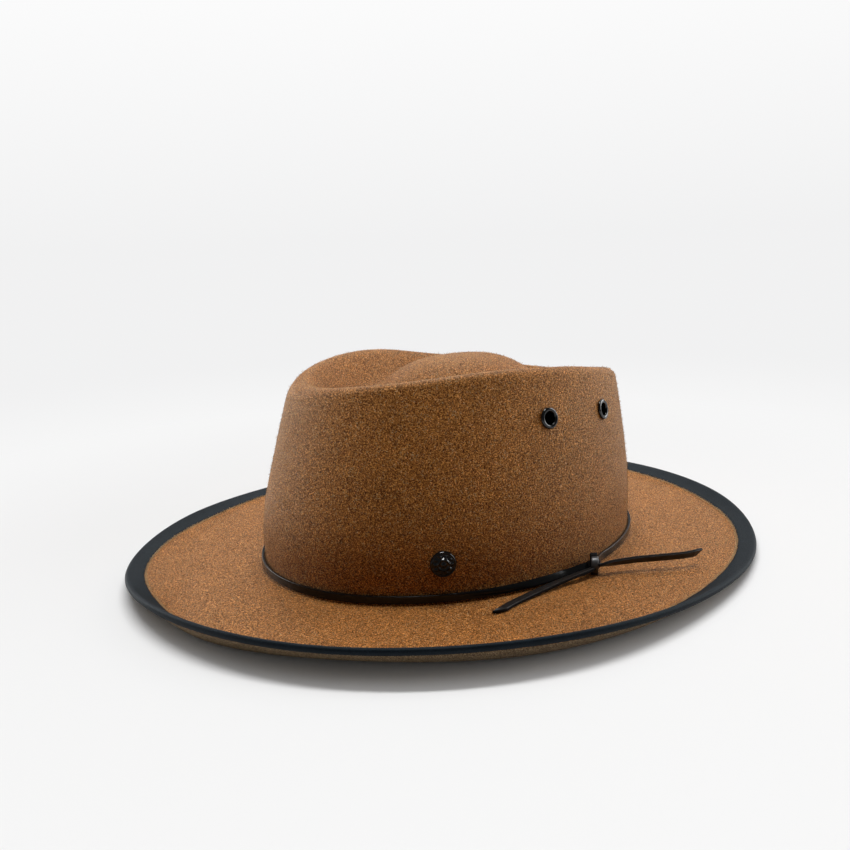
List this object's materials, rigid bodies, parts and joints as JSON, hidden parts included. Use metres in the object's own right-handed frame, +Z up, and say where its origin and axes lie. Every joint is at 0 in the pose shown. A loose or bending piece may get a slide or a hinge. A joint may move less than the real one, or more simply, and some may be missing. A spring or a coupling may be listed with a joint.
{
  "type": "safari hat",
  "caption": "Felt safari hat with a pinched crown, ribbon-bound brim, knotted leather lace, domed stud and vent eyelets.",
  "frame": {"origin": "middle of the hat's plan box, on the surface that it rests on", "axes": "+Z up; -Y to the hat's front, so the hat's length runs along Y; +X to the wearer's left"},
  "size_m": [0.2968, 0.3361, 0.0983],
  "materials": {
    "felt": "wool felt, tan brown, finely speckled",
    "ribbon": "matte woven ribbon, dark navy charcoal",
    "lace": "black leather, half gloss",
    "enamel": "glossy black enamel"
  },
  "bodies": {
    "root": {"felt_body": "felt", "brim_binding": "ribbon", "band_lace": "lace", "lace_knot": "lace", "lace_tail_front": "lace", "lace_tail_rear": "lace", "stud_cap": "enamel", "stud_back": "enamel", "eyelet_left_front": "enamel", "eyelet_left_rear": "enamel", "eyelet_right_front": "enamel", "eyelet_right_rear": "enamel"}
  },
  "joints": []
}
